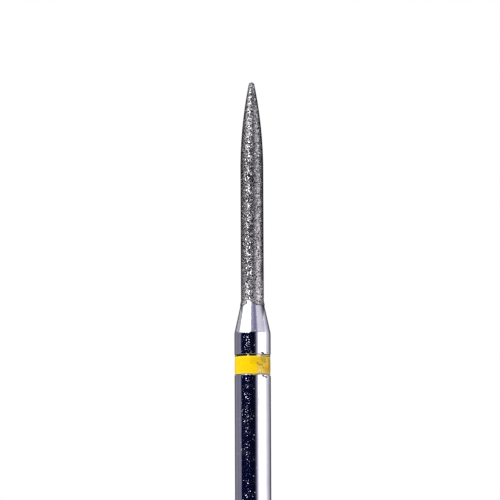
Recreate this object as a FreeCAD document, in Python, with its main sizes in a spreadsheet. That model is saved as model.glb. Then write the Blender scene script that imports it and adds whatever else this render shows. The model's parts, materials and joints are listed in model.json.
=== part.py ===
"""A long flame-shaped diamond bur for a friction-grip dental handpiece.

The bur stands on the centre of its shank's end, with +Z towards the tip. All lengths are in millimetres.
Three pieces are built: the turned steel blank, the diamond coating plated on its core, and the colour ring
that lies in a shallow groove of the shank and tells how fine the grit is.
"""

import FreeCAD, Part
import math
import os

import Sketcher

# Driving dimensions: name, value and meaning
SIZES = [
    ("overall_length", 22.0, "end of the shank to the tip of the coating"),
    ("shank_diameter", 1.6, "plain shank that the handpiece's chuck grips"),
    ("shank_end_chamfer", 0.2, "chamfer that leads the shank into the chuck"),
    ("shank_end_round", 0.06, "round of the chamfer's edge on the end face"),
    ("neck_length", 1.3, "cone between the shank and the head"),
    ("neck_blend_radius", 0.6, "round where the cone runs into the shank"),
    ("head_length", 9.8, "coated head, from the blank's shoulder to the tip"),
    ("head_diameter", 1.02, "head over the coating"),
    ("flame_length", 3.9, "curved part of the head, measured back from the tip"),
    ("tip_radius", 0.13, "round of the tip over the coating"),
    ("coating_thickness", 0.05, "nickel and diamond layer, the same all over the core"),
    ("coating_edge_round", 0.02, "round of the coating's outer edge at the shoulder"),
    ("ring_setback", 1.02, "foot of the neck to the upper edge of the colour ring"),
    ("ring_width", 0.82, "colour ring, along the shank"),
    ("ring_recess", 0.01, "how far the colour ring lies below the shank's surface"),
    ("ring_edge_round", 0.02, "round of the colour ring's outer edges"),
    ("groove_depth", 0.06, "seat of the colour ring, below the shank's surface"),
    ("groove_upper_gap", 0.07, "open groove left above the colour ring"),
    ("groove_lower_gap", 0.02, "open groove left below the colour ring"),
]

# Radii from the axis and heights above the shank's end, which follow from the sizes
LEVELS = [
    ("shank_radius", "=Sizes.shank_diameter / 2", "shank's surface"),
    ("end_face_radius", "=shank_radius - Sizes.shank_end_chamfer", "inner edge of the end's chamfer"),
    ("head_radius", "=Sizes.head_diameter / 2", "coating's surface, and the cone at the shoulder"),
    ("core_radius", "=head_radius - Sizes.coating_thickness", "blank under the coating"),
    ("core_tip_radius", "=Sizes.tip_radius - Sizes.coating_thickness", "round of the core's tip"),
    ("ring_radius", "=shank_radius - Sizes.ring_recess", "colour ring's surface"),
    ("groove_radius", "=shank_radius - Sizes.groove_depth", "floor of the ring's groove"),
    ("shank_end", 0, "the bur's lowest face"),
    ("core_top", "=Sizes.overall_length - Sizes.coating_thickness", "end of the core"),
    ("tip_centre", "=Sizes.overall_length - Sizes.tip_radius", "centre of both tip rounds"),
    ("flame_start", "=Sizes.overall_length - Sizes.flame_length", "end of the head's straight wall"),
    ("shoulder", "=Sizes.overall_length - Sizes.head_length", "seat of the coating's end"),
    ("neck_foot", "=shoulder - Sizes.neck_length", "cone meets the shank"),
    ("ring_top", "=neck_foot - Sizes.ring_setback", "upper edge of the colour ring"),
    ("ring_bottom", "=ring_top - Sizes.ring_width", "lower edge of the colour ring"),
    ("groove_top", "=ring_top + Sizes.groove_upper_gap", "upper wall of the groove"),
    ("groove_bottom", "=ring_bottom - Sizes.groove_lower_gap", "lower wall of the groove"),
]

# The sketcher's own numbers for the upright axis, the origin and the points of a line or an arc
UPRIGHT_AXIS, ORIGIN = range(-2, 0)
START, END, CENTRE = range(1, 4)

FULL_TURN = 360
SAME_PLACE = 1e-4


def make_sheet(doc, name, rows):
    """A spreadsheet with one value to a row, each under its alias."""
    sheet = doc.addObject("Spreadsheet::Sheet", name)
    for row, (alias, content, meaning) in enumerate(rows, start=1):
        sheet.set(f"A{row}", alias)
        sheet.set(f"B{row}", str(content))
        sheet.set(f"C{row}", meaning)
        sheet.setAlias(f"B{row}", alias)
    doc.recompute()


def value(doc, reference):
    """The number behind a reference such as Sizes.head_length."""
    sheet, alias = reference.split(".")
    return getattr(doc.getObject(sheet), alias)


def place(doc, radius, height):
    """A point of an outline, from the references of its radius and its height."""
    return value(doc, radius), value(doc, height)


def make_body(doc, name):
    """An empty body in the bur's own frame. Its label names the file."""
    body = doc.addObject("PartDesign::Body", name)
    body.Label = name
    body.Placement = FreeCAD.Placement()
    return body


def side_sketch(body, name):
    """A sketch on the body's XZ plane: across is the radius, and up is the bur's axis."""
    sketch = body.newObject("Sketcher::SketchObject", name)
    plane = next(f for f in body.Origin.OriginFeatures if f.Role == "XZ_Plane")
    sketch.AttachmentSupport = [(plane, "")]
    sketch.MapMode = "FlatFace"
    return sketch


def add_line(sketch, start, end):
    line = Part.LineSegment(FreeCAD.Vector(*start), FreeCAD.Vector(*end))
    return sketch.addGeometry(line, False)


def add_arc(sketch, centre, radius, from_angle, to_angle):
    circle = Part.Circle(FreeCAD.Vector(*centre), FreeCAD.Vector(0, 0, 1), radius)
    return sketch.addGeometry(Part.ArcOfCircle(circle, from_angle, to_angle), False)


def constrain(sketch, *rule):
    return sketch.addConstraint(Sketcher.Constraint(*rule))


def chain(sketch, *lines):
    """Joins each line's end to the next one's start."""
    for before, after in zip(lines, lines[1:]):
        constrain(sketch, "Coincident", before, END, after, START)


def bind(sketch, kind, geometry, reference):
    """Adds a dimension that follows a value of the sheets."""
    index = constrain(sketch, kind, *geometry, value(sketch.Document, reference))
    sketch.setExpression(f"Constraints[{index}]", reference)


def bind_radius(sketch, line, point, reference):
    bind(sketch, "DistanceX", (ORIGIN, START, line, point), reference)


def bind_height(sketch, line, point, reference):
    bind(sketch, "DistanceY", (ORIGIN, START, line, point), reference)


def check_outline(sketch):
    """Stops unless the outline is fully constrained, so that a changed size has one answer."""
    if sketch.solve() or not sketch.FullyConstrained:
        raise RuntimeError(f"{sketch.Label} isn't fully constrained")


def add_flame(sketch, wall_radius, tip_radius):
    """The side of the head as three tangent stretches: the straight wall, the long flame arc and the tip.

    The core and the coating both use it. Their arcs share their centres, so that the coating is equally
    thick all over. Returns the wall and the tip.
    """
    doc = sketch.Document
    wall_foot = place(doc, wall_radius, "Levels.shoulder")
    wall_head = place(doc, wall_radius, "Levels.flame_start")
    tip_centre = (0, value(doc, "Levels.tip_centre"))
    outer, inner = value(doc, wall_radius), value(doc, tip_radius)
    rise = tip_centre[1] - wall_head[1]
    flame_radius = (outer**2 + rise**2 - inner**2) / (2 * (outer - inner))
    flame_centre = (outer - flame_radius, wall_head[1])
    join_angle = math.atan2(rise, flame_radius - outer)

    wall = add_line(sketch, wall_foot, wall_head)
    flame = add_arc(sketch, flame_centre, flame_radius, 0, join_angle)
    tip = add_arc(sketch, tip_centre, inner, join_angle, math.pi / 2)
    constrain(sketch, "Vertical", wall)
    constrain(sketch, "Tangent", wall, END, flame, START)
    constrain(sketch, "Tangent", flame, END, tip, START)
    constrain(sketch, "PointOnObject", tip, CENTRE, UPRIGHT_AXIS)
    constrain(sketch, "PointOnObject", tip, END, UPRIGHT_AXIS)
    bind_radius(sketch, wall, START, wall_radius)
    bind_height(sketch, wall, START, "Levels.shoulder")
    bind_height(sketch, wall, END, "Levels.flame_start")
    bind_height(sketch, tip, CENTRE, "Levels.tip_centre")
    bind(sketch, "Radius", (tip,), tip_radius)
    return wall, tip


def add_band(sketch, inner, outer, low, high):
    """A rectangular section between two radii and two heights, all four given as references."""
    doc = sketch.Document
    corners = [place(doc, r, z) for r, z in ((inner, low), (outer, low), (outer, high), (inner, high))]
    lines = [add_line(sketch, a, b) for a, b in zip(corners, corners[1:] + corners[:1])]
    floor, face, roof, back = lines
    chain(sketch, *lines, floor)
    for level in (floor, roof):
        constrain(sketch, "Horizontal", level)
    for upright in (face, back):
        constrain(sketch, "Vertical", upright)
    bind_radius(sketch, floor, START, inner)
    bind_radius(sketch, floor, END, outer)
    bind_height(sketch, floor, START, low)
    bind_height(sketch, roof, START, high)
    check_outline(sketch)


def revolve(body, kind, sketch, name):
    """Turns an outline once round the bur's axis, as a Revolution or as a Groove."""
    feature = body.newObject(f"PartDesign::{kind}", name)
    feature.Profile = sketch
    feature.ReferenceAxis = (sketch, ["V_Axis"])
    feature.Angle = FULL_TURN
    body.Document.recompute()
    return feature


def edges_at(feature, radius, height):
    """Names of the edges that run round the axis at a radius and a height, given as references."""
    doc = feature.Document
    found = []
    for number, edge in enumerate(feature.Shape.Edges, start=1):
        if edge.Degenerated or not isinstance(edge.Curve, Part.Circle):
            continue
        off_radius = abs(edge.Curve.Radius - value(doc, radius))
        off_height = abs(edge.Curve.Center.z - value(doc, height))
        if max(off_radius, off_height) < SAME_PLACE:
            found.append(f"Edge{number}")
    if not found:
        raise RuntimeError(f"{feature.Label} has no edge at {radius}, {height}")
    return found


def dress(body, kind, base, edges, name, amount, reference):
    """Rounds or chamfers edges of the feature before it. The amount follows a value of the sheets."""
    feature = body.newObject(f"PartDesign::{kind}", name)
    feature.Base = (base, edges)
    feature.setExpression(amount, reference)
    body.Document.recompute()
    return feature


def make_steel_blank(doc):
    """Shank, neck and core, turned from one bar. The shoulder carries the coating's end."""
    body = make_body(doc, "steel_blank")
    sketch = side_sketch(body, "blank_outline")
    wall, tip = add_flame(sketch, "Levels.core_radius", "Levels.core_tip_radius")

    shank_end = place(doc, "Levels.shank_radius", "Levels.shank_end")
    neck_foot = place(doc, "Levels.shank_radius", "Levels.neck_foot")
    neck_head = place(doc, "Levels.head_radius", "Levels.shoulder")
    wall_foot = place(doc, "Levels.core_radius", "Levels.shoulder")
    core_top = (0, value(doc, "Levels.core_top"))
    end_face = add_line(sketch, (0, 0), shank_end)
    shank = add_line(sketch, shank_end, neck_foot)
    neck = add_line(sketch, neck_foot, neck_head)
    shoulder = add_line(sketch, neck_head, wall_foot)
    centre_line = add_line(sketch, core_top, (0, 0))

    constrain(sketch, "Coincident", end_face, START, ORIGIN, START)
    chain(sketch, end_face, shank, neck, shoulder, wall)
    chain(sketch, tip, centre_line, end_face)
    constrain(sketch, "Horizontal", end_face)
    constrain(sketch, "Vertical", shank)
    constrain(sketch, "Horizontal", shoulder)
    bind_radius(sketch, shank, START, "Levels.shank_radius")
    bind_height(sketch, shank, END, "Levels.neck_foot")
    bind_radius(sketch, neck, END, "Levels.head_radius")
    check_outline(sketch)
    bar = revolve(body, "Revolution", sketch, "turned_bar")

    foot = edges_at(bar, "Levels.shank_radius", "Levels.neck_foot")
    blend = dress(body, "Fillet", bar, foot, "neck_blend", "Radius", "Sizes.neck_blend_radius")
    corner = edges_at(blend, "Levels.shank_radius", "Levels.shank_end")
    lead = dress(body, "Chamfer", blend, corner, "shank_lead", "Size", "Sizes.shank_end_chamfer")
    rim = edges_at(lead, "Levels.end_face_radius", "Levels.shank_end")
    rounded = dress(body, "Fillet", lead, rim, "shank_end_rim", "Radius", "Sizes.shank_end_round")
    cut_ring_groove(body, rounded)
    return body


def cut_ring_groove(body, before):
    """The colour ring's seat, a little wider than the ring."""
    sketch = side_sketch(body, "groove_outline")
    heights = ("Levels.groove_bottom", "Levels.groove_top")
    add_band(sketch, "Levels.groove_radius", "Levels.shank_radius", *heights)
    groove = revolve(body, "Groove", sketch, "ring_groove")
    if groove.Shape.Volume >= before.Shape.Volume:
        raise RuntimeError("the ring groove cut nothing")


def make_diamond_coating(doc):
    """The plated layer: a closed cap over the core that ends on the blank's shoulder."""
    body = make_body(doc, "diamond_coating")
    sketch = side_sketch(body, "coating_outline")
    skin, skin_tip = add_flame(sketch, "Levels.head_radius", "Sizes.tip_radius")
    seat, seat_tip = add_flame(sketch, "Levels.core_radius", "Levels.core_tip_radius")
    seat_foot = place(doc, "Levels.core_radius", "Levels.shoulder")
    skin_foot = place(doc, "Levels.head_radius", "Levels.shoulder")
    end_ring = add_line(sketch, seat_foot, skin_foot)
    skin_top = (0, value(doc, "Sizes.overall_length"))
    centre_line = add_line(sketch, skin_top, (0, value(doc, "Levels.core_top")))
    constrain(sketch, "Coincident", seat, START, end_ring, START)
    chain(sketch, end_ring, skin)
    chain(sketch, skin_tip, centre_line)
    constrain(sketch, "Coincident", centre_line, END, seat_tip, END)
    check_outline(sketch)
    plate = revolve(body, "Revolution", sketch, "plated_layer")
    edge = edges_at(plate, "Levels.head_radius", "Levels.shoulder")
    dress(body, "Fillet", plate, edge, "coating_edge", "Radius", "Sizes.coating_edge_round")
    return body


def make_colour_ring(doc):
    """The lacquer band, seated on the groove's floor and just below the shank's surface."""
    body = make_body(doc, "colour_ring")
    sketch = side_sketch(body, "ring_outline")
    heights = ("Levels.ring_bottom", "Levels.ring_top")
    add_band(sketch, "Levels.groove_radius", "Levels.ring_radius", *heights)
    band = revolve(body, "Revolution", sketch, "ring_band")
    edges = [name for height in heights for name in edges_at(band, "Levels.ring_radius", height)]
    dress(body, "Fillet", band, edges, "ring_edges", "Radius", "Sizes.ring_edge_round")
    return body


def check_and_export(doc, bodies):
    """Stops if anything failed, and writes each piece to its own STEP file."""
    doc.recompute()
    for item in doc.Objects:
        if "Invalid" in item.State or "Error" in item.State:
            raise RuntimeError(f"{item.Label} failed to build")
    for body in bodies:
        if body.Shape.isNull() or not body.Shape.isValid() or len(body.Shape.Solids) != 1:
            raise RuntimeError(f"{body.Label} isn't one valid solid")
    os.makedirs("parts", exist_ok=True)
    for body in bodies:
        body.Shape.exportStep(f"parts/{body.Label}.step")
        box = body.Shape.optimalBoundingBox()
        print(f"{body.Label}: {body.Shape.Volume:.4f} mm3, z {box.ZMin:.3f} to {box.ZMax:.3f}")


def main():
    doc = FreeCAD.newDocument("DentalBur")
    make_sheet(doc, "Sizes", SIZES)
    make_sheet(doc, "Levels", LEVELS)
    makers = (make_steel_blank, make_diamond_coating, make_colour_ring)
    check_and_export(doc, [make(doc) for make in makers])


main()
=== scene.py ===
"""A long flame-shaped diamond bur: its finished surfaces, laid out as an add-on.

Lengths are in metres. The bur stands on the end of its shank with +Z towards the tip, and the photograph
looks along +Y. Every piece is turned, so each is spun from a profile of radii and heights. Azimuths are
measured from the side that faces the camera, and grow towards +X.
"""

import json
import math

import bpy
from bpy.props import FloatProperty, FloatVectorProperty, IntProperty, PointerProperty
from bpy.types import Operator, Panel, PropertyGroup
from mathutils import Matrix, Vector, noise

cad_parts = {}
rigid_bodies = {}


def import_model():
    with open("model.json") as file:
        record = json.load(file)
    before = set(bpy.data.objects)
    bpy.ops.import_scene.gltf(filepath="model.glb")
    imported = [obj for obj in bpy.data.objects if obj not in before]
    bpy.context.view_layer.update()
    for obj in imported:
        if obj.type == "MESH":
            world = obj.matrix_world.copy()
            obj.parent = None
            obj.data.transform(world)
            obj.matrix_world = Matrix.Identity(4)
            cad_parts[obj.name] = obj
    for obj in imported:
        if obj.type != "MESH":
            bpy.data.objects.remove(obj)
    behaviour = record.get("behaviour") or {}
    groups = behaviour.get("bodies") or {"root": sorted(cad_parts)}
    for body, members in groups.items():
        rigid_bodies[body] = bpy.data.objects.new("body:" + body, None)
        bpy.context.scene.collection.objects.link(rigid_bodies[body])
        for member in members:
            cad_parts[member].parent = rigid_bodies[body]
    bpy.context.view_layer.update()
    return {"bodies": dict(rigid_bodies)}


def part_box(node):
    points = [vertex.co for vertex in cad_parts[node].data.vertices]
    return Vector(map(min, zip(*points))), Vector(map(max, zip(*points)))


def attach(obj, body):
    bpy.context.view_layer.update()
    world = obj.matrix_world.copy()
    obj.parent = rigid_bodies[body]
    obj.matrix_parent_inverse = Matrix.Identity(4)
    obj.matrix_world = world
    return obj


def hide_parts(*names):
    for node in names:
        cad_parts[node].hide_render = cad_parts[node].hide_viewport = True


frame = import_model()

bl_info = {
    "name": "Dental Bur",
    "version": (1, 0, 0),
    "blender": (4, 5, 0),
    "location": "View3D > Sidebar > Bur",
    "description": "Builds a diamond-coated dental bur with a colour ring, and its stage",
    "category": "Add Mesh",
}

MM = 0.001
# Pieces are drawn this many times as large, because merging and textures have smallest sizes
DRAWING_SCALE = 1000
MERGE_DISTANCE = 1e-5
# Height that the camera and the lamps face
FOCUS = 14.58 * MM

# Places read from the frame
BODY = next(iter(frame["bodies"]))
BLANK_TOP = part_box("steel_blank")[1]
COAT_LOW, COAT_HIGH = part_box("diamond_coating")
RING_LOW, RING_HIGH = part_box("colour_ring")
# The ring's groove is open below and above the ring
GROOVE_LOW = RING_LOW.z - 0.02 * MM
GROOVE_HIGH = RING_HIGH.z + 0.07 * MM
# The same heights in millimetres, as the materials read them
SHOULDER = COAT_LOW.z / MM
RING_BOTTOM, RING_TOP = RING_LOW.z / MM, RING_HIGH.z / MM


# Turning


def deselect_all():
    """Leaves edit mode and clears the selection, because operators act on all that is selected."""
    if bpy.context.object and bpy.context.object.mode != "OBJECT":
        bpy.ops.object.mode_set(mode="OBJECT")
    bpy.ops.object.select_all(action="DESELECT")


def around(radius, azimuth, height=0.0):
    """The point at a radius, azimuth and height."""
    return Vector((radius * math.sin(azimuth), -radius * math.cos(azimuth), height))


def azimuth_of(point):
    """The azimuth of a point, from -pi to pi."""
    return math.atan2(point.x, -point.y)


def draw_profile(name, profile, azimuth):
    """A new object in edit mode that holds a profile, extruded point by point from one vertex."""
    deselect_all()
    bpy.ops.mesh.primitive_plane_add(size=1)
    piece = bpy.context.object
    piece.name = piece.data.name = name
    bpy.ops.object.mode_set(mode="EDIT")
    bpy.ops.mesh.select_all(action="SELECT")
    bpy.ops.mesh.merge(type="CENTER")
    points = [around(radius, azimuth, height) * DRAWING_SCALE for radius, height in profile]
    bpy.ops.transform.translate(value=points[0])
    for here, there in zip(points, points[1:]):
        bpy.ops.mesh.extrude_region_move(TRANSFORM_OT_translate={"value": there - here})
    return piece


def turn(name, profile, steps, start=0.0, end=math.tau):
    """Spins a profile of (radius, height) round the axis. The piece stays in edit mode, drawn large."""
    piece = draw_profile(name, profile, end)
    bpy.ops.mesh.select_all(action="SELECT")
    bpy.ops.mesh.spin(steps=steps, angle=end - start, center=(0, 0, 0), axis=(0, 0, 1))
    bpy.ops.mesh.select_all(action="SELECT")
    bpy.ops.mesh.remove_doubles(threshold=MERGE_DISTANCE)
    bpy.ops.mesh.normals_make_consistent(inside=False)
    return piece


def bring_to_size(piece, smooth_angle=math.radians(35)):
    """Scales a drawn piece down to metres, with its place in its mesh, and shades it."""
    deselect_all()
    piece.select_set(True)
    bpy.context.view_layer.objects.active = piece
    bpy.ops.transform.resize(value=(1 / DRAWING_SCALE,) * 3)
    bpy.ops.object.transform_apply(location=True, rotation=True, scale=True)
    bpy.ops.object.shade_smooth_by_angle(angle=smooth_angle)


def arc(centre, radius, start, end, count):
    """Points along an arc, without its first one. Angles are measured from the radial direction."""
    return [
        (centre[0] + radius * math.cos(a), centre[1] + radius * math.sin(a))
        for a in (start + (end - start) * i / count for i in range(1, count + 1))
    ]


def line(start, end, count):
    """Points along a line, without its first one."""
    return [
        (start[0] + (end[0] - start[0]) * i / count, start[1] + (end[1] - start[1]) * i / count)
        for i in range(1, count + 1)
    ]


def rounded(before, corner, after, radius, count):
    """Points of a round at the corner between two other points, with both its ends."""
    here = Vector(corner)
    back = (Vector(before) - here).normalized()
    on = (Vector(after) - here).normalized()
    half = back.angle(on) / 2
    reach = radius / math.tan(half)
    centre = here + (back + on).normalized() * radius / math.sin(half)
    first = here + back * reach - centre
    last = here + on * reach - centre
    start = math.atan2(first.y, first.x)
    swing = math.atan2(last.y, last.x) - start
    swing = (swing + math.pi) % math.tau - math.pi
    return [
        (centre.x + radius * math.cos(angle), centre.y + radius * math.sin(angle))
        for angle in (start + swing * i / count for i in range(count + 1))
    ]


def outline(corners, support=0.02 * MM):
    """Points of a profile through corners of (radius, height, round, points on the round).

    Each straight run gets a point near both its ends, so that smooth shading stays flat between them.
    """
    points = [corners[0][:2]]
    for before, (radius, height, size, count), after in zip(corners, corners[1:], corners[2:]):
        if size:
            points += rounded(before[:2], (radius, height), after[:2], size, count)
        else:
            points.append((radius, height))
    points.append(corners[-1][:2])
    supported = [points[0]]
    for here, there in zip(points, points[1:]):
        run = Vector(there) - Vector(here)
        if run.length > 3 * support:
            step = run.normalized() * support
            supported += [tuple(Vector(here) + step), tuple(Vector(there) - step)]
        supported.append(there)
    return supported


def flame(wall, tip, tip_radius, start, inset, arc_count, tip_count):
    """Points of the long arc and the round tip, from the top of the straight wall to the axis.

    The arc leaves the wall smoothly and runs smoothly into the tip's round. A surface under the skin
    has the same centres, and lies inset deep.
    """
    rise = tip - tip_radius - start
    run = wall - tip_radius
    arc_radius = (rise * rise + run * run) / (2 * run) + tip_radius
    centre = (wall - arc_radius, start)
    turn_in = math.atan2(rise, arc_radius - wall)
    long_arc = arc(centre, arc_radius - inset, 0, turn_in, arc_count)
    return long_arc + arc((0, tip - tip_radius), tip_radius - inset, turn_in, math.pi / 2, tip_count)


# Materials


class Signal:
    """A number that runs between nodes, so that shader maths is written as an expression."""

    def __init__(self, tree, socket):
        self.tree = tree
        self.socket = socket

    def __add__(self, other):
        return self.tree.maths("ADD", self, other)

    __radd__ = __add__

    def __sub__(self, other):
        return self.tree.maths("SUBTRACT", self, other)

    def __rsub__(self, other):
        return self.tree.maths("SUBTRACT", other, self)

    def __mul__(self, other):
        return self.tree.maths("MULTIPLY", self, other)

    __rmul__ = __mul__

    def __truediv__(self, other):
        return self.tree.maths("DIVIDE", self, other)

    def __rtruediv__(self, other):
        return self.tree.maths("DIVIDE", other, self)

    def __gt__(self, other):
        return self.tree.maths("GREATER_THAN", self, other)

    def __lt__(self, other):
        return self.tree.maths("LESS_THAN", self, other)


class NodeTree:
    """The nodes of a material or world, and the one way in which they are made."""

    def __init__(self, owner):
        owner.use_nodes = True
        self.owner = owner
        self.nodes = owner.node_tree.nodes
        self.links = owner.node_tree.links

    def node(self, kind, settings=None, sockets=None, out=0):
        """Adds a node and returns one of its outputs. Its settings are set before its sockets."""
        made = self.nodes.new(kind)
        for setting, value in (settings or {}).items():
            if setting == "stops":
                self.set_stops(made.color_ramp, value)
            else:
                setattr(made, setting, value)
        for socket, value in (sockets or {}).items():
            self.give(made, socket, value)
        return Signal(self, made.outputs[out])

    def give(self, node, socket, value):
        """Links a signal to a socket, or sets the socket's value."""
        if isinstance(value, Signal):
            self.links.new(value.socket, node.inputs[socket])
        else:
            node.inputs[socket].default_value = value

    @staticmethod
    def set_stops(ramp, stops):
        """Gives a colour ramp its stops of (position, colour)."""
        while len(ramp.elements) < len(stops):
            ramp.elements.new(1)
        for element, (position, colour) in zip(ramp.elements, stops):
            element.position = position
            element.color = (*colour, 1)

    def maths(self, operation, *values):
        """A Math node on numbers."""
        return self.node("ShaderNodeMath", {"operation": operation}, dict(enumerate(values)))

    def vectors(self, operation, first, second, out="Vector"):
        """A Vector Math node."""
        return self.node("ShaderNodeVectorMath", {"operation": operation}, {0: first, 1: second}, out)

    def step(self, value, low, high):
        """Rises smoothly from 0 to 1 as a value goes from low to high."""
        sockets = {"Value": value, "From Min": low, "From Max": high, "To Min": 0, "To Max": 1}
        settings = {"interpolation_type": "SMOOTHSTEP", "clamp": True}
        return self.node("ShaderNodeMapRange", settings, sockets)

    def window(self, value, low, high, soft):
        """1 between low and high, with soft edges."""
        return self.step(value, low - soft, low + soft) * (1 - self.step(value, high - soft, high + soft))

    def find_place(self):
        """Sets the place on the bur in millimetres, its height and its azimuth in degrees."""
        metres = self.node("ShaderNodeTexCoord", out="Object")
        self.place = self.vectors("MULTIPLY", metres, (1 / MM,) * 3)
        axes = [self.node("ShaderNodeSeparateXYZ", {}, {0: self.place}, axis) for axis in "XYZ"]
        x, y, self.height = axes
        self.azimuth = self.maths("DEGREES", self.maths("ARCTAN2", x, -1 * y))
        self.radius = self.maths("SQRT", x * x + y * y)


class Finish(NodeTree):
    """A material of the bur. Its patterns lie on Object coordinates, in millimetres."""

    def __init__(self, name, **constants):
        super().__init__(bpy.data.materials.new(name))
        self.surface = self.nodes["Principled BSDF"]
        self.feed(**constants)
        self.find_place()

    def feed(self, **values):
        """Sets or links the surface's own sockets."""
        for socket, value in values.items():
            self.give(self.surface, socket.replace("_", " "), value)

    def clouds(self, size, detail=2, roughness=0.5, place=None):
        """Soft noise around 0.5, whose forms are about that many millimetres."""
        sockets = {"Vector": place or self.place, "Scale": 1 / size}
        sockets.update({"Detail": detail, "Roughness": roughness})
        return self.node("ShaderNodeTexNoise", {}, sockets, "Fac")

    def grains(self, size, out="Distance"):
        """Voronoi grains, about that many millimetres apart."""
        return self.node("ShaderNodeTexVoronoi", {}, {"Vector": self.place, "Scale": 1 / size}, out)

    def chance(self, size, channel="Red"):
        """A random number from 0 to 1 for each grain."""
        return self.node("ShaderNodeSeparateColor", {}, {0: self.grains(size, "Color")}, channel)

    def facets(self, size, slope):
        """Heights in millimetres that tilt each grain its own way, by up to that slope."""
        across = self.vectors("SUBTRACT", self.place, self.grains(size, "Position"))
        tilt = self.vectors("SUBTRACT", self.grains(size, "Color"), (0.5,) * 3)
        return self.vectors("DOT_PRODUCT", across, tilt, "Value") * (2 * slope)

    def blend(self, factor, first, second):
        """Mixes two colours by a number."""
        settings = {"data_type": "RGBA", "clamp_factor": True}
        first, second = (c if isinstance(c, Signal) else (*c, 1) for c in (first, second))
        return self.node("ShaderNodeMix", settings, {"Factor": factor, 6: first, 7: second}, 2)

    def bump(self, height, depth, below=None):
        """A bump whose height of 1 stands that many millimetres proud, over another bump if given."""
        sockets = {"Height": height, "Distance": depth * MM}
        if below:
            sockets["Normal"] = below
        return self.node("ShaderNodeBump", {}, sockets)


def shade(colour, share):
    """A colour made darker or lighter."""
    return tuple(min(1.0, share * c) for c in colour)


# Dark flecks beside the ring: (azimuth in degrees, height in mm, radius in mm)
FLECKS = (
    (29.5, 10.005, 0.024),
    (33.5, 10.0, 0.036),
    (36, 9.975, 0.034),
    (32.5, 8.975, 0.022),
    (35.5, 8.975, 0.04),
    (39.5, 8.965, 0.026),
    (45, 8.935, 0.032),
    (48.5, 8.93, 0.034),
    (54, 10.01, 0.014),
)
# A degree's arc on the shank, in mm
ARC_OF_DEGREE = 0.014
# Dark colour of the painted shade in the ring's groove, and of the flecks of dirt beside the ring
GROOVE_SHADE_AND_GRIME = (0.012, 0.010, 0.006)
# Sizes in mm of the small raised spots, each with the channel that picks which of them stand out
SPOT_SIZES = ((0.05, "Red"), (0.075, "Green"))
# Bluish colour painted on the raised spots, a painted tint of the light that their glints reflect
PAINTED_GLINT_TINT = (0.52, 0.57, 0.74)
PIT_SIZE = 0.06
PIT_DEPTH = 0.006


def steel_finish(settings):
    """Bright turned steel: fine marks round the axis, a few pits, flecks of dirt, and painted shade in
    the groove.
    """
    steel = Finish("polished_turned_steel", Specular_IOR_Level=0.0)
    # Marks that follow the turning are longer round the axis than along it
    turned = steel.vectors("MULTIPLY", steel.place, (0.35, 0.35, 1.0))
    bright = tuple(settings.colour)
    tone = steel.clouds(0.5, detail=3, place=turned)
    colour = steel.blend(steel.step(tone, 0.35, 0.7), bright, shade(bright, 0.93))
    # Painted shade: the groove is painted dark, dull and not metallic; the flecks beside the ring are
    # dirt
    in_groove = steel.window(steel.height, GROOVE_LOW / MM, GROOVE_HIGH / MM, 0.004)
    shade_and_grime = in_groove * (1 - steel.step(steel.radius, 0.78, 0.797))
    ragged = 0.03 * (steel.clouds(0.03) - 0.5)
    for azimuth, height, radius in FLECKS:
        across = (steel.azimuth - azimuth) * ARC_OF_DEGREE
        up = steel.height - height
        apart = steel.maths("SQRT", across * across + up * up) + ragged
        shade_and_grime = steel.maths("MAXIMUM", shade_and_grime, 1 - steel.step(apart, radius, radius + 0.012))
    colour = steel.blend(shade_and_grime, colour, GROOVE_SHADE_AND_GRIME)
    marks = 0.12 * steel.step(steel.clouds(0.05, roughness=0.6, place=turned), 0.53, 0.72)
    for size, channel in SPOT_SIZES:
        chosen = steel.step(steel.chance(size, channel), 0.45, 1.0)
        spots = (1 - steel.step(steel.grains(size), 0.05, 0.4)) * chosen
        marks = marks + spots
        # The raised spots take the painted bluish tint of their glints
        colour = steel.blend(steel.step(spots, 0.0, 0.4) * (1 - shade_and_grime), colour, PAINTED_GLINT_TINT)
    # The marks are deeper near the neck, and on the side that is scuffed
    side = steel.azimuth
    scuffed = 0.25 + 0.2 * steel.window(side, -38, 4, 6) + 0.55 * steel.window(side, -23, -10, 4)
    scuffed = scuffed + 0.35 * steel.step(steel.height, 10.7, 11) * steel.window(side, -8, 32, 8)
    depth_share = (0.7 + 0.4 * steel.step(steel.height, 4.5, 7.5)) * scuffed
    relief = steel.bump(marks * depth_share, settings.mark_depth / MM)
    pits = (steel.chance(PIT_SIZE, "Blue") > 0.95) * (1 - steel.step(steel.grains(PIT_SIZE), 0.0, 0.4))
    dull = steel.step(steel.clouds(0.35, place=turned), 0.45, 0.75)
    steel.feed(
        Base_Color=colour,
        Roughness=0.07 + 0.06 * dull + 0.4 * shade_and_grime,
        Metallic=1 - shade_and_grime,
        Normal=steel.bump(pits, -PIT_DEPTH, relief),
    )
    return steel.owner


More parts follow.
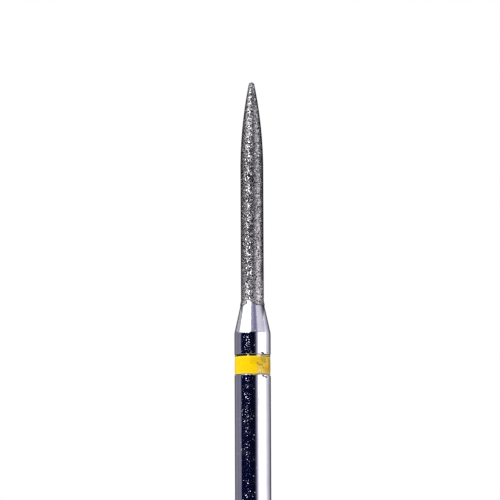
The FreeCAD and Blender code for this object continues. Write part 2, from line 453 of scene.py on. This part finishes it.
def grit_finish(settings):
    """Diamond grit held in grey nickel: sharp grains, each with its own tone, tilt and gloss."""
    grit = Finish("diamond_grit_in_nickel", Metallic=1.0, Specular_Tint=(0, 0, 0, 1))
    size = settings.grain_size / MM
    cluster = 1.3 * size
    nickel = tuple(settings.colour)
    colour = grit.blend(grit.chance(size), shade(nickel, 0.3), shade(nickel, 1.72))
    # A few grains shine, and more are deep in shade
    shining = grit.step(grit.chance(cluster, "Green"), 0.95, 0.97)
    colour = grit.blend(shining, colour, shade(nickel, 1.9))
    shaded = grit.step(grit.chance(cluster, "Blue"), 0.8, 0.85)
    colour = grit.blend(shaded, colour, shade(nickel, 0.1))
    # The head is made brighter towards the neck, and its lowest grains are duller
    brighter_near_neck = 1 - grit.step(grit.height, SHOULDER - 1, 17.8)
    colour = grit.vectors("MULTIPLY", colour, 0.98 + 0.47 * brighter_near_neck)
    foot = 1 - grit.step(grit.height, SHOULDER + 0.3, SHOULDER + 1.6)
    # Painted shadow: a dark line of grains along the lower edge on the right, where the coating ends on
    # the neck
    edge_shadow = grit.window(grit.height, SHOULDER - 0.105, SHOULDER - 0.06, 0.012)
    shadow_side = grit.window(grit.azimuth, 14, 75, 4)
    colour = grit.blend(0.75 * edge_shadow * shadow_side, colour, shade(nickel, 0.12))
    grit.feed(
        Base_Color=colour,
        Roughness=0.17 + 0.12 * grit.chance(0.9 * size) + 0.09 * foot,
        Normal=grit.bump(grit.facets(size, 0.2), 1.0),
    )
    return grit.owner


# Colours of the ring's lapped end, partly its own lacquer and partly a painted reflection: (azimuths in
# degrees, shares of the ring's height, strength, mottled strength, colour), each over the ones before
LAP_PAINT_AND_REFLECTION = (
    ((-8, 13), (0.55, 0.95), 0.5, 0.0, (0.75, 0.47, 0.0)),
    ((14, 105), (-0.5, 1.5), 1.0, 0.0, (0.86, 0.51, 0.005)),
    ((27, 48), (0.62, 1.5), 0.6, 0.4, (0.40, 0.35, 0.03)),
    ((52, 60), (0.5, 1.5), 1.0, 0.0, (0.76, 0.48, 0.07)),
    ((61, 105), (-0.5, 1.5), 0.8, 0.0, (0.42, 0.25, 0.012)),
    ((15, 43), (0.05, 0.5), 1.0, 0.0, (0.80, 0.50, 0.03)),
    # Painted reflection: mottled pale patches of the softbox on the crumpled lower lap
    ((15, 43), (0.05, 0.5), 0.0, 1.0, (0.95, 0.70, 0.17)),
    ((42, 62), (0.1, 0.42), 0.8, 0.0, (0.62, 0.37, 0.01)),
)


def lacquer_finish(settings):
    """Yellow lacquer tape, whose end laps over to the camera's right, crumpled and thinner."""
    lacquer = Finish("yellow_ring_lacquer", Specular_IOR_Level=0.15)
    window = lacquer.window
    yellow = tuple(settings.colour)
    side, height = lacquer.azimuth, lacquer.height
    mottle = lacquer.step(lacquer.clouds(0.12, detail=3), 0.3, 0.7)
    colour = lacquer.blend(0.3 * mottle, yellow, shade(yellow, 0.9))
    # The lap's colours and its painted reflection wander with soft noise
    warp = lacquer.clouds(0.22, detail=3) - 0.5
    azimuth = side + 16 * warp
    level = (height - RING_BOTTOM) / (RING_TOP - RING_BOTTOM) + 0.35 * warp
    for azimuths, levels, strength, mottled, paint in LAP_PAINT_AND_REFLECTION:
        patch = window(azimuth, *azimuths, 4) * window(level, *levels, 0.05)
        colour = lacquer.blend(patch * (strength + mottled * mottle), colour, paint)
    # A fold line across the lap, dented by a bump, with painted shade along it
    fold = level - 0.61 + 0.010 * (azimuth - 15)
    crease_and_shade = 1 - lacquer.step(lacquer.maths("ABSOLUTE", fold), 0.02, 0.08)
    crease_and_shade = window(azimuth, 13, 40, 3) * crease_and_shade
    colour = lacquer.blend(0.9 * crease_and_shade, colour, (0.40, 0.22, 0.002))
    # Paler lines just inside both edges: the upper one a painted highlight on the rounded edge, the lower
    # one tan
    upper_highlight = window(height, RING_TOP - 0.075, RING_TOP - 0.04, 0.012)
    colour = lacquer.blend(upper_highlight, colour, (0.98, 0.74, 0.07))
    lower_line = window(height, RING_BOTTOM - 0.1, RING_BOTTOM + 0.075, 0.015)
    colour = lacquer.blend(0.6 * lower_line, colour, (0.78, 0.62, 0.16))
    # Painted shade darkens the upper rim, most where it stands bare; the rim is pale where the lap covers
    # it
    rim = lacquer.step(height, RING_TOP - 0.036, RING_TOP - 0.022)
    bare = window(side, -66, 13, 5) * (1 - window(side, -19, -11, 1.5))
    colour = lacquer.blend(rim, colour, (0.2, 0.155, 0.06))
    covered = rim * (1 - bare) * (side > -30) * (side < 12)
    colour = lacquer.blend(covered, colour, (0.7, 0.58, 0.1))
    colour = lacquer.blend(rim * window(side, 13, 62, 4), colour, (0.62, 0.46, 0.26))
    # Painted highlight on the lapped rim
    colour = lacquer.blend(rim * window(side, 13, 28, 3), colour, (0.98, 0.84, 0.62))
    shadow = window(height, RING_TOP - 0.052, RING_TOP - 0.012, 0.008) * window(side, 24, 82, 3)
    colour = lacquer.blend(0.9 * shadow, colour, (0.13, 0.09, 0.02))
    # Darker painted shade on the rim where it stands bare
    colour = lacquer.blend(rim * bare, colour, (0.13, 0.09, 0.001))
    # Painted shade darkens the lower edge, mottled, and the edge is smeared under the lap
    under = 1 - lacquer.step(height, RING_BOTTOM - 0.005, RING_BOTTOM + 0.035)
    colour = lacquer.blend(under * (0.25 + 0.7 * mottle), colour, (0.26, 0.19, 0.01))
    smear = window(side, 22, 76, 4) * (1 - lacquer.step(height, RING_BOTTOM + 0.02, RING_BOTTOM + 0.07))
    colour = lacquer.blend(0.85 * smear, colour, (0.40, 0.32, 0.19))
    lap = window(side, 12, 105, 4)
    surface = lacquer.bump(lacquer.clouds(0.3), 0.008)
    wrinkles = lacquer.bump(lap * lacquer.clouds(0.1, roughness=0.6), 0.03, surface)
    lacquer.feed(
        Base_Color=colour,
        Roughness=0.2 + 0.25 * lap * mottle,
        Normal=lacquer.bump(crease_and_shade, -0.012, wrinkles),
    )
    return lacquer.owner


# Settings


class BurBlankSettings(PropertyGroup):
    """The turned steel blank."""

    shank_radius: FloatProperty(
        name="Shank radius", description="Radius of the shank that the chuck grips",
        default=BLANK_TOP.x, unit="LENGTH",
    )
    neck_foot: FloatProperty(
        name="Neck foot", description="Height at which the neck's cone meets the shank",
        default=10.9 * MM, unit="LENGTH",
    )
    neck_round: FloatProperty(
        name="Neck round", description="Round where the cone runs into the shank",
        default=0.6 * MM, unit="LENGTH",
    )
    end_chamfer: FloatProperty(
        name="End chamfer", description="Chamfer round the shank's end",
        default=0.2 * MM, unit="LENGTH",
    )
    groove_depth: FloatProperty(
        name="Groove depth", description="Depth of the ring's groove below the shank's surface",
        default=0.06 * MM, unit="LENGTH",
    )
    mark_depth: FloatProperty(
        name="Mark depth", description="Depth of the fine marks in the steel's surface",
        default=0.0038 * MM, unit="LENGTH",
    )
    steps: IntProperty(name="Steps", description="Faces round the axis", default=192, min=24)
    colour: FloatVectorProperty(
        name="Colour", description="The steel's reflected colour",
        default=(0.62, 0.62, 0.64), size=3, subtype="COLOR",
    )


class BurCoatingSettings(PropertyGroup):
    """The diamond coating of the head."""

    radius: FloatProperty(
        name="Head radius", description="Radius of the head over its coating",
        default=COAT_HIGH.x, unit="LENGTH",
    )
    tip_radius: FloatProperty(
        name="Tip radius", description="Round of the tip", default=0.13 * MM, unit="LENGTH",
    )
    flame_start: FloatProperty(
        name="Flame start", description="Height at which the straight wall starts to curve in",
        default=18.1 * MM, unit="LENGTH",
    )
    thickness: FloatProperty(
        name="Thickness", description="Thickness of the plated layer", default=0.05 * MM, unit="LENGTH",
    )
    grain_size: FloatProperty(
        name="Grain size", description="Distance between grains of diamond",
        default=0.036 * MM, unit="LENGTH",
    )
    grain_height: FloatProperty(
        name="Grain height", description="How far a grain stands out of the nickel",
        default=0.006 * MM, unit="LENGTH",
    )
    steps: IntProperty(name="Steps", description="Faces round the axis", default=170, min=24)
    rows: IntProperty(name="Rows", description="Faces along the skin", default=540, min=60)
    colour: FloatVectorProperty(
        name="Colour", description="The nickel's reflected colour",
        default=(0.29, 0.282, 0.287), size=3, subtype="COLOR",
    )


class BurRingSettings(PropertyGroup):
    """The colour ring in the shank's groove."""

    radius: FloatProperty(
        name="Radius", description="Radius of the ring's surface", default=RING_HIGH.x, unit="LENGTH",
    )
    crown: FloatProperty(
        name="Crown", description="How far the ring's middle stands above its edges",
        default=0.006 * MM, unit="LENGTH",
    )
    crumple: FloatProperty(
        name="Crumple", description="Depth of the folds at the lapped end",
        default=0.014 * MM, unit="LENGTH",
    )
    steps: IntProperty(name="Steps", description="Faces round the axis", default=300, min=24)
    rows: IntProperty(name="Rows", description="Faces across the ring's surface", default=34, min=8)
    colour: FloatVectorProperty(
        name="Colour", description="Colour of the lacquer",
        default=(0.98, 0.645, 0.0), size=3, subtype="COLOR",
    )


class BurStageSettings(PropertyGroup):
    """Camera, lamps, cards and floor."""

    distance: FloatProperty(
        name="Camera distance", description="From the camera to the bur", default=0.5, unit="LENGTH",
    )
    rise: FloatProperty(
        name="Camera elevation", description="Angle of the camera above the bur, negative from below",
        default=math.radians(-4.5), subtype="ANGLE",
    )
    roll: FloatProperty(
        name="Camera roll", description="Lean of the bur in the picture",
        default=math.radians(0.24), subtype="ANGLE",
    )
    frame_width: FloatProperty(
        name="Frame width", description="Width that the camera sees at the bur",
        default=22.03 * MM, unit="LENGTH",
    )
    offset: FloatProperty(
        name="Camera offset", description="How far the camera stands to the right of the bur",
        default=-0.097 * MM, unit="LENGTH",
    )
    softbox: FloatProperty(
        name="Softbox level", description="Radiance of the softboxes", default=1.75, min=0,
    )
    room: FloatProperty(
        name="Room level", description="Light from all round on surfaces that aren't glossy",
        default=0.65, min=0,
    )


# Pieces

# Broken edges of the groove, and rounds of the ring's and the coating's edges
EDGE_BREAK = 0.008 * MM
EDGE_ROUND = 0.02 * MM
# Rounds where the shank's end meets its chamfer, and the chamfer its side
END_ROUND = 0.06 * MM
CHAMFER_ROUND = 0.1 * MM
# How far below the shoulder the coating's edge starts, how far above it the edge is lifted off the
# neck's cone, and by how much
COAT_OVERHANG = 0.14 * MM
LIFTED_HEIGHT = 0.15 * MM
COAT_LIFT = 0.02 * MM
# The cone goes on under the coating's ragged edge before it gives way to the core
CONE_OVERRUN = 0.2 * MM
CORE_START = 0.3 * MM
# Fine unevenness of a shifted edge, as a share of the shift, and how often it changes
UNEVEN_SHARE = 0.2
UNEVEN_RATE = 14
# How far the coating's lower edge rises from its lowest place: (azimuth in degrees, mm)
COAT_EDGE_RISES = (
    (-180, 0.08), (-120, 0.06), (-88, 0.05), (-64, 0.03), (-43, 0.03), (-40.5, 0.07), (-29.5, 0.08),
    (-27.5, 0.2), (-18, 0.2), (-8, 0.2), (-2, 0.21), (0, 0.17), (3, 0.095), (16, 0.09), (18, 0.045),
    (90, 0.05), (130, 0.07), (160, 0.03), (180, 0.08),
)
# How far the ring's upper edge stands over the groove, and its foot hangs out: (azimuth in degrees, mm)
RING_TOP_RISES = (
    (-180, 0.05), (-72, 0.055), (-62, 0.0), (-19, 0.0), (-17, 0.055), (-13, 0.055), (-11, 0.0),
    (9, 0.0), (14, 0.055), (40, 0.045), (60, 0.055), (180, 0.05),
)
RING_FOOT_DROPS = (
    (-180, 0.0), (-6, 0.0), (-1, -0.05), (6, -0.06), (12, -0.03), (22, 0.0), (26, -0.03),
    (34, -0.01), (48, -0.02), (70, -0.04), (95, -0.01), (110, 0.0), (180, 0.0),
)
# How much of the crumpling each side of the ring gets: (azimuth in degrees, share)
CRUMPLE_SHARES = ((-180, 0.1), (9, 0.12), (15, 1.0), (96, 1.0), (106, 0.1), (180, 0.1))
# Size of the folds in the drawn ring, and the level of their noise that stays in place
FOLD_SIZE = 0.16
FOLD_MIDDLE = 0.8


def finish_piece(piece, node, material):
    """Gives a piece its material, and hands it to the frame in place of its CAD node."""
    piece.data.materials.clear()
    piece.data.materials.append(material)
    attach(piece, BODY)
    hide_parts(node)


def apply_displacement(piece, group, direction, strength, texture=None, middle=0.0):
    """Displaces the vertices of a group, and applies it. The strength is in metres."""
    displace = piece.modifiers.new(group, "DISPLACE")
    displace.vertex_group = group
    displace.direction = direction
    displace.strength = strength * DRAWING_SCALE
    displace.mid_level = middle
    if texture:
        displace.texture = texture
        displace.texture_coords = "LOCAL"
    bpy.ops.object.modifier_apply(modifier=displace.name)


def between(stops, place):
    """The value at a place, on straight lines between stops of (place, value)."""
    for (here, low), (there, high) in zip(stops, stops[1:]):
        if here <= place <= there:
            return low + (high - low) * (place - here) / (there - here)
    raise ValueError(f"no stops lie round {place}")


def shift_edge(piece, name, edge, reach, shifts):
    """Moves a turned piece's lower or upper edge along the axis, and the rows within reach less and less.

    Shifts are stops of (azimuth in degrees, shift in mm), all up or all down, and a fine unevenness
    comes on top.
    """
    bpy.ops.object.mode_set(mode="OBJECT")
    largest = max((shift for azimuth, shift in shifts), key=abs) * (1 + UNEVEN_SHARE)
    group = piece.vertex_groups.new(name=name)
    for vertex in piece.data.vertices:
        share = 1 - abs(vertex.co.z / DRAWING_SCALE - edge) / reach
        if share > 0:
            uneven = 1 + UNEVEN_SHARE * noise.noise(Vector((vertex.co.x, vertex.co.y, 0)) * UNEVEN_RATE)
            wanted = between(shifts, math.degrees(azimuth_of(vertex.co))) * uneven
            group.add([vertex.index], min(1.0, share * wanted / largest), "REPLACE")
    apply_displacement(piece, name, "Z", largest * MM)


class MESH_OT_bur_blank(Operator):
    """Turn the steel blank: shank, ring groove, neck and the core under the coating"""

    bl_idname = "mesh.bur_blank"
    bl_label = "Steel blank"

    def execute(self, context):
        s = context.scene.bur_blank
        coat = context.scene.bur_coating
        shank, groove = s.shank_radius, s.shank_radius - s.groove_depth
        shoulder = COAT_LOW.z
        slope = (shank - coat.radius) / (shoulder - s.neck_foot)
        core = coat.radius - coat.thickness
        cone_end = (coat.radius - CONE_OVERRUN * slope, shoulder + CONE_OVERRUN)
        profile = outline([
            (0, 0, 0, 0),
            (shank - s.end_chamfer, 0, END_ROUND, 4),
            (shank, s.end_chamfer, CHAMFER_ROUND, 4),
            (shank, GROOVE_LOW, EDGE_BREAK, 3),
            (groove, GROOVE_LOW, EDGE_BREAK, 3),
            (groove, GROOVE_HIGH, EDGE_BREAK, 3),
            (shank, GROOVE_HIGH, EDGE_BREAK, 3),
            (shank, s.neck_foot, s.neck_round, 10),
            (*cone_end, 0, 0),
            (core, shoulder + CORE_START, 0, 0),
            (core, coat.flame_start, 0, 0),
        ])
        profile += flame(
            coat.radius, COAT_HIGH.z, coat.tip_radius, coat.flame_start,
            inset=coat.thickness, arc_count=30, tip_count=6,
        )
        piece = turn("steel_blank_finished", profile, s.steps)
        # The groove's lower edge gives way where the ring's foot hangs out
        shift_edge(piece, "smeared_edge", GROOVE_LOW, reach=0.03 * MM, shifts=RING_FOOT_DROPS)
        bring_to_size(piece)
        finish_piece(piece, "steel_blank", steel_finish(s))
        return {"FINISHED"}


class MESH_OT_bur_coating(Operator):
    """Turn the coating's shell, give it a ragged lower edge, and raise the grains on its skin"""

    bl_idname = "mesh.bur_coating"
    bl_label = "Diamond coating"

    def execute(self, context):
        s = context.scene.bur_coating
        low, high = COAT_LOW.z, COAT_HIGH.z
        foot = low - COAT_OVERHANG
        inner = s.radius - s.thickness
        # The skin starts half a grain lower than the frame's, and the grains stand up to it
        skin = s.radius - s.grain_height / 2
        wall_rows = round(s.rows * (s.flame_start - low) / (high - low))
        profile = rounded((inner, foot), (skin, foot), (skin, high), EDGE_ROUND, 4)
        profile += line(profile[-1], (skin, s.flame_start), wall_rows)
        tip = high - s.grain_height / 2
        profile += flame(
            skin, tip, s.tip_radius, s.flame_start, inset=0, arc_count=s.rows - wall_rows, tip_count=8,
        )
        core = flame(
            s.radius, high, s.tip_radius, s.flame_start, inset=s.thickness, arc_count=8, tip_count=3,
        )
        profile += core[::-1] + [(inner, s.flame_start), (inner, low + CORE_START), (inner, foot)]
        piece = turn("diamond_coating_finished", profile + profile[:1], s.steps)
        shift_edge(piece, "ragged_edge", foot, reach=0.5 * MM, shifts=COAT_EDGE_RISES)
        self.raise_grains(piece, s)
        bring_to_size(piece, smooth_angle=math.radians(60))
        self.lap_over_neck(piece, low)
        finish_piece(piece, "diamond_coating", grit_finish(s))
        return {"FINISHED"}

    @staticmethod
    def raise_grains(piece, s):
        """Displaces the skin, and leaves the inner wall smooth."""
        middle = (COAT_HIGH.z - s.tip_radius) * DRAWING_SCALE
        group = piece.vertex_groups.new(name="skin")
        for vertex in piece.data.vertices:
            outward = vertex.co - Vector((0, 0, min(vertex.co.z, middle)))
            if vertex.normal.dot(outward) > 0:
                group.add([vertex.index], 1.0, "REPLACE")
        texture = bpy.data.textures.new("diamond_grains", "VORONOI")
        texture.noise_scale = s.grain_size * DRAWING_SCALE
        texture.weight_1, texture.weight_2 = -1.0, 1.0
        apply_displacement(piece, group.name, "NORMAL", s.grain_height, texture, 0.5)

    @staticmethod
    def lap_over_neck(piece, low):
        """Lifts the coating's ragged edge off the neck's cone, which it runs onto."""
        skin = piece.vertex_groups["skin"].index
        group = piece.vertex_groups.new(name="lap")
        for vertex in piece.data.vertices:
            on_skin = any(member.group == skin for member in vertex.groups)
            if on_skin and vertex.co.z < low + LIFTED_HEIGHT:
                group.add([vertex.index], 1.0, "REPLACE")
        lift = piece.modifiers.new("lap", "SHRINKWRAP")
        lift.target = bpy.data.objects["steel_blank_finished"]
        lift.vertex_group = group.name
        lift.wrap_mode = "OUTSIDE_SURFACE"
        lift.offset = COAT_LIFT
        bpy.ops.object.modifier_apply(modifier=lift.name)


class MESH_OT_bur_ring(Operator):
    """Turn the colour ring, and crumple the end that laps over it"""

    bl_idname = "mesh.bur_ring"
    bl_label = "Colour ring"

    def execute(self, context):
        s = context.scene.bur_ring
        blank = context.scene.bur_blank
        seat = blank.shank_radius - blank.groove_depth
        low, high = RING_LOW.z, RING_HIGH.z
        edge = s.radius - s.crown
        middle = (low + high) / 2
        section = [(seat, low)]
        section += rounded((seat, low), (edge, low), (edge, high), EDGE_ROUND, 4)
        wall_low, wall_high = section[-1][1], high - EDGE_ROUND
        # The crown is flat in the middle and falls off near the edges
        for i in range(1, s.rows):
            height = wall_low + (wall_high - wall_low) * i / s.rows
            from_middle = (height - middle) / (wall_high - middle)
            section.append((edge + s.crown * (1 - from_middle ** 4), height))
        section += rounded((edge, low), (edge, high), (seat, high), EDGE_ROUND, 4)
        section += [(seat, high)] + line((seat, high), (seat, low), 3)
        piece = turn("colour_ring_finished", section, s.steps)
        shift_edge(piece, "upper_edge", high, reach=0.3 * MM, shifts=RING_TOP_RISES)
        shift_edge(piece, "lower_edge", low, reach=0.3 * MM, shifts=RING_FOOT_DROPS)
        self.crumple(piece, s, seat)
        bring_to_size(piece, smooth_angle=math.radians(50))
        finish_piece(piece, "colour_ring", lacquer_finish(s))
        return {"FINISHED"}

    @staticmethod
    def crumple(piece, s, seat):
        """Displaces the outer wall, deep at the lapped end and hardly elsewhere."""
        group = piece.vertex_groups.new(name="folds")
        for vertex in piece.data.vertices:
            if math.hypot(vertex.co.x, vertex.co.y) > (seat + 0.01 * MM) * DRAWING_SCALE:
                share = between(CRUMPLE_SHARES, math.degrees(azimuth_of(vertex.co)))
                group.add([vertex.index], share, "REPLACE")
        texture = bpy.data.textures.new("folds", "CLOUDS")
        texture.noise_scale = FOLD_SIZE
        texture.noise_depth = 2
        apply_displacement(piece, group.name, "NORMAL", 2 * s.crumple, texture, FOLD_MIDDLE)


# Stage

# Distances from the bur's axis to the far cards, the lamps and the close flags
CARD_REACH = 0.35
LAMP_REACH = 0.37
CLOSE_REACH = 4 * MM
CARD_ROWS = 6
DEGREES_PER_CARD_STEP = 3
# Width of the camera's sensor in mm
SENSOR_WIDTH = 36
FLOOR_REACH = 45 * MM
FLOOR_RINGS = 12
# Radii in mm between which the floor fades out
FLOOR_FADE = (24, 44)


def card(name, azimuths, elevations, colours, reach=CARD_REACH):
    """A card far from the bur, curved round it. Angles are in degrees."""
    low, high = (math.radians(angle) for angle in elevations)
    rows = (low + (high - low) * i / CARD_ROWS for i in range(CARD_ROWS + 1))
    profile = [(reach * math.cos(angle), FOCUS + reach * math.sin(angle)) for angle in rows]
    make_card(name, azimuths, profile, colours)


def close_flag(name, azimuths, colours):
    """An upright card close beside the head."""
    profile = [(CLOSE_REACH, COAT_LOW.z + 0.75 * MM), (CLOSE_REACH, COAT_HIGH.z + 5 * MM)]
    make_card(name, azimuths, profile, colours)


def make_card(name, azimuths, profile, colours):
    """A card that only the bur's gloss reflects.

    Colours is one colour, or stops of (azimuth, colour) with steady changes between.
    """
    start, end = azimuths
    steps = round((end - start) / DEGREES_PER_CARD_STEP)
    made = turn(name, profile, steps, math.radians(start), math.radians(end))
    bring_to_size(made)
    made.visible_camera = False
    made.visible_diffuse = False
    made.visible_shadow = False
    made.visible_transmission = False
    paper = Finish(name, Base_Color=(0, 0, 0, 1), Roughness=1.0, Specular_IOR_Level=0.0)
    if isinstance(colours[0], tuple):
        stops = [((azimuth - start) / (end - start), colour) for azimuth, colour in colours]
        share = (paper.azimuth - start) / (end - start)
        colour = paper.node("ShaderNodeValToRGB", {"stops": stops}, {"Fac": share})
    else:
        colour = (*colours, 1)
    paper.feed(Emission_Color=colour, Emission_Strength=1.0)
    made.data.materials.clear()
    made.data.materials.append(paper.owner)


def softbox(name, azimuth, elevation, half_width, half_height, level, reach=LAMP_REACH):
    """A soft rectangular lamp that faces the bur. Angles are in degrees."""
    width = 2 * reach * math.tan(math.radians(half_width))
    height = 2 * reach * math.tan(math.radians(half_height))
    angle = math.radians(elevation)
    away = around(reach * math.cos(angle), math.radians(azimuth), reach * math.sin(angle))
    deselect_all()
    bpy.ops.object.light_add(type="AREA", location=away + Vector((0, 0, FOCUS)))
    lamp = bpy.context.object
    lamp.name = name
    lamp.data.shape = "RECTANGLE"
    lamp.data.size, lamp.data.size_y = width, height
    lamp.data.energy = level * math.pi * width * height
    lamp.rotation_euler = (-away).to_track_quat("-Z", "Y").to_euler()
    lamp.visible_camera = False


class SCENE_OT_bur_stage(Operator):
    """Set up the camera, the soft lamps, the cards that the steel reflects, and the pale floor"""

    bl_idname = "scene.bur_stage"
    bl_label = "Stage"

    def execute(self, context):
        s = context.scene.bur_stage
        self.camera(context, s)
        self.world(context, s)
        softbox("right_softbox", 63, 7, 25, 8, s.softbox)
        softbox("left_softbox", -57, 32.5, 41, 17.5, 0.83 * s.softbox)
        softbox("key_lamp", -48, 23, 3, 6.5, 14 * s.softbox, reach=0.34)
        self.cards()
        self.floor()
        return {"FINISHED"}

    @staticmethod
    def cards():
        """Dark flags in front and pale cards at the sides and behind, which the steel shows as bands."""
        card("front_left_flag", (-79, -18), (-60, 11.5), (0.003, 0.003, 0.035))
        card("front_flag", (-18, 14), (-60, 20), (0.003, 0.003, 0.019), reach=0.34)
        card("front_slot", (14, 38), (-60, 16), (
            (14, (0.04, 0.04, 0.08)), (20, (0.09, 0.09, 0.14)), (26, (0.43, 0.42, 0.53)),
            (33, (1.0, 0.96, 1.1)), (38, (1.6, 1.55, 1.7)),
        ))
        card("left_card", (-150, -79), (-60, 14), (
            (-150, (0.26, 0.26, 0.29)), (-135, (0.27, 0.265, 0.3)), (-123, (0.37, 0.36, 0.44)),
            (-111, (0.25, 0.245, 0.32)), (-98, (0.30, 0.29, 0.37)), (-90, (0.33, 0.32, 0.42)),
            (-79, (0.26, 0.26, 0.37)),
        ))
        card("right_reflector", (38, 88), (-12, -1), (1.8, 1.8, 1.8))
        card("right_low_card", (38, 88), (-60, -12), (0.35, 0.35, 0.4))
        card("right_card", (88, 155), (-60, 21), (
            (88, (1.7, 1.65, 1.8)), (93, (1.38, 1.35, 1.48)), (102, (1.08, 1.05, 1.2)),
            (113, (0.8, 0.78, 0.9)), (126, (0.5, 0.49, 0.56)), (138, (0.25, 0.24, 0.28)),
            (146, (0.03, 0.03, 0.04)), (155, (0.02, 0.02, 0.02)),
        ))
        card("rear_card", (150, 212), (-60, 60), (
            (150, (0.02, 0.02, 0.024)), (160, (0.08, 0.08, 0.09)), (171, (0.75, 0.74, 0.78)),
            (196, (0.75, 0.74, 0.78)), (212, (0.26, 0.26, 0.29)),
        ), reach=0.36)
        card("top_card", (-13, 38), (15, 50), (
            (-13, (0.62, 0.6, 0.78)), (0, (0.46, 0.44, 0.63)), (13, (0.36, 0.35, 0.52)),
            (18, (0.27, 0.26, 0.42)), (24, (0.25, 0.24, 0.38)), (31, (0.5, 0.48, 0.62)),
            (38, (0.9, 0.87, 1.0)),
        ))
        card("right_upper_flag", (38, 88), (15.5, 19), (0.25, 0.25, 0.28))
        card("top_right_card", (38, 88), (19, 50), ((38, (1.1, 1.07, 1.2)), (88, (0.85, 0.83, 0.95))))
        card("top_side_card", (88, 150), (21, 50), (
            (88, (0.68, 0.66, 0.8)), (110, (0.42, 0.41, 0.5)), (130, (0.12, 0.12, 0.17)),
            (150, (0.05, 0.05, 0.07)),
        ))
        card("top_left_card", (-150, -95), (15, 50), (0.65, 0.64, 0.7))
        # Flags close to the head darken its outlines, and the shank and the neck look past them
        close_flag("head_right_flag", (72, 148), (
            (72, (1.1, 1.07, 1.15)), (80, (0.6, 0.58, 0.64)), (92, (0.33, 0.32, 0.35)),
            (108, (0.12, 0.115, 0.13)), (116, (0.01, 0.01, 0.01)), (140, (0.0, 0.0, 0.0)),
            (148, (0.3, 0.3, 0.32)),
        ))
        close_flag("head_left_flag", (-148, -104), (
            (-148, (0.3, 0.3, 0.32)), (-140, (0.0, 0.0, 0.0)), (-130, (0.01, 0.01, 0.01)),
            (-120, (0.18, 0.175, 0.19)), (-104, (0.34, 0.33, 0.36)),
        ))

    @staticmethod
    def camera(context, s):
        """Looks slightly up at the bur, whose tip leans to the left in the picture."""
        away = around(s.distance * math.cos(s.rise), 0.0, s.distance * math.sin(s.rise))
        deselect_all()
        bpy.ops.object.camera_add(location=Vector((s.offset, 0, FOCUS)) + away)
        made = bpy.context.object
        made.name = "photo_camera"
        made.data.sensor_width = SENSOR_WIDTH
        made.data.sensor_fit = "HORIZONTAL"
        made.data.lens = SENSOR_WIDTH * s.distance / s.frame_width
        made.data.clip_start = 0.05
        made.data.clip_end = 20
        facing = (-away).to_track_quat("-Z", "Y").to_matrix()
        made.rotation_euler = (facing @ Matrix.Rotation(-s.roll, 3, "Z")).to_euler()
        context.scene.camera = made
        context.scene.view_settings.view_transform = "Standard"

    @staticmethod
    def world(context, s):
        """White to the camera, to gloss and through glass, and a softer white to everything else."""
        room = NodeTree(bpy.data.worlds.new("studio"))
        context.scene.world = room.owner
        room.owner.cycles.sampling_method = "NONE"
        seen = 0
        for kind in ("Camera", "Glossy", "Transmission"):
            ray = room.node("ShaderNodeLightPath", out=f"Is {kind} Ray")
            seen = room.maths("MAXIMUM", seen, ray)
        background = room.nodes["Background"]
        room.give(background, "Color", (1, 1, 1, 1))
        room.give(background, "Strength", s.room + (1 - s.room) * seen)

    @staticmethod
    def floor():
        """A pale round floor under the shank's end, which fades out."""
        rings = [(FLOOR_REACH * i / FLOOR_RINGS, 0.0) for i in range(FLOOR_RINGS + 1)]
        made = turn("floor", rings, steps=96)
        bring_to_size(made)
        paint = Finish("pale_floor", Base_Color=(0.9, 0.9, 0.9, 1), Roughness=0.9)
        paint.feed(Alpha=1 - paint.step(paint.radius, *FLOOR_FADE))
        made.data.materials.clear()
        made.data.materials.append(paint.owner)


# Panel and start


class VIEW3D_PT_bur(Panel):
    """The bur's pieces and their settings."""

    bl_label = "Dental Bur"
    bl_space_type = "VIEW_3D"
    bl_region_type = "UI"
    bl_category = "Bur"

    def draw(self, context):
        for operator, group in STEPS:
            box = self.layout.box()
            box.operator(operator.bl_idname)
            settings = getattr(context.scene, group)
            for name in settings.__annotations__:
                box.prop(settings, name)


STEPS = (
    (SCENE_OT_bur_stage, "bur_stage"),
    (MESH_OT_bur_blank, "bur_blank"),
    (MESH_OT_bur_coating, "bur_coating"),
    (MESH_OT_bur_ring, "bur_ring"),
)
GROUPS = {
    "bur_stage": BurStageSettings,
    "bur_blank": BurBlankSettings,
    "bur_coating": BurCoatingSettings,
    "bur_ring": BurRingSettings,
}
CLASSES = (*GROUPS.values(), *(operator for operator, group in STEPS), VIEW3D_PT_bur)


def register():
    for made in CLASSES:
        bpy.utils.register_class(made)
    for name, group in GROUPS.items():
        setattr(bpy.types.Scene, name, PointerProperty(type=group))


def unregister():
    for name in GROUPS:
        delattr(bpy.types.Scene, name)
    for made in reversed(CLASSES):
        bpy.utils.unregister_class(made)


def main():
    """Builds the stage and every piece."""
    register()
    bpy.ops.scene.bur_stage()
    bpy.ops.mesh.bur_blank()
    bpy.ops.mesh.bur_coating()
    bpy.ops.mesh.bur_ring()
    deselect_all()


if __name__ == "__main__":
    main()
